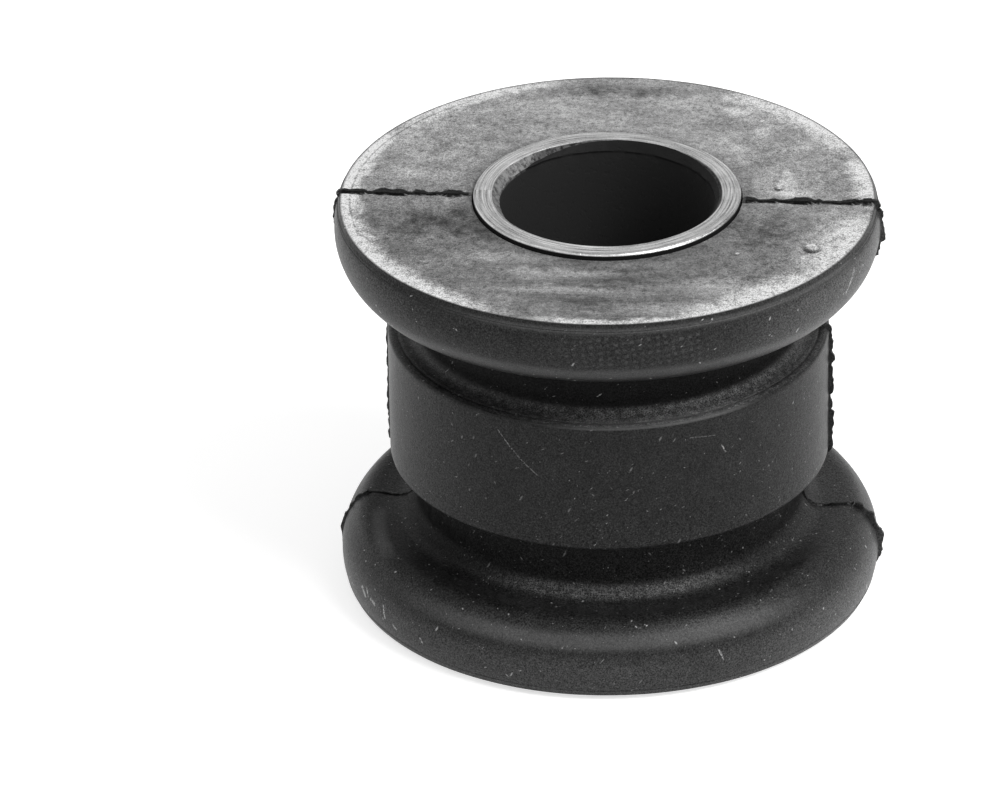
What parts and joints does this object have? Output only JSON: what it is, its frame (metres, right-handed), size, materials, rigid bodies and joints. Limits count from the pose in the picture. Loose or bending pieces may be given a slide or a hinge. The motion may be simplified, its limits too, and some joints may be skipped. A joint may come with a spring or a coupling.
{
  "type": "sway bar bushing",
  "caption": "Spool-shaped rubber bushing moulded round a steel sleeve, with round-edged flanges, undercut grooves beside a plain barrel, and a through bore.",
  "frame": {"origin": "centre of the sleeve's lower end face, on the bore axis", "axes": "+Z along the bore axis, up; the mould's parting line lies in the XZ plane"},
  "size_m": [0.0588, 0.0572, 0.045],
  "materials": {
    "rubber": "satin",
    "steel": "turned"
  },
  "bodies": {
    "root": {"rubber_body": "rubber", "inner_sleeve": "steel"}
  },
  "joints": []
}
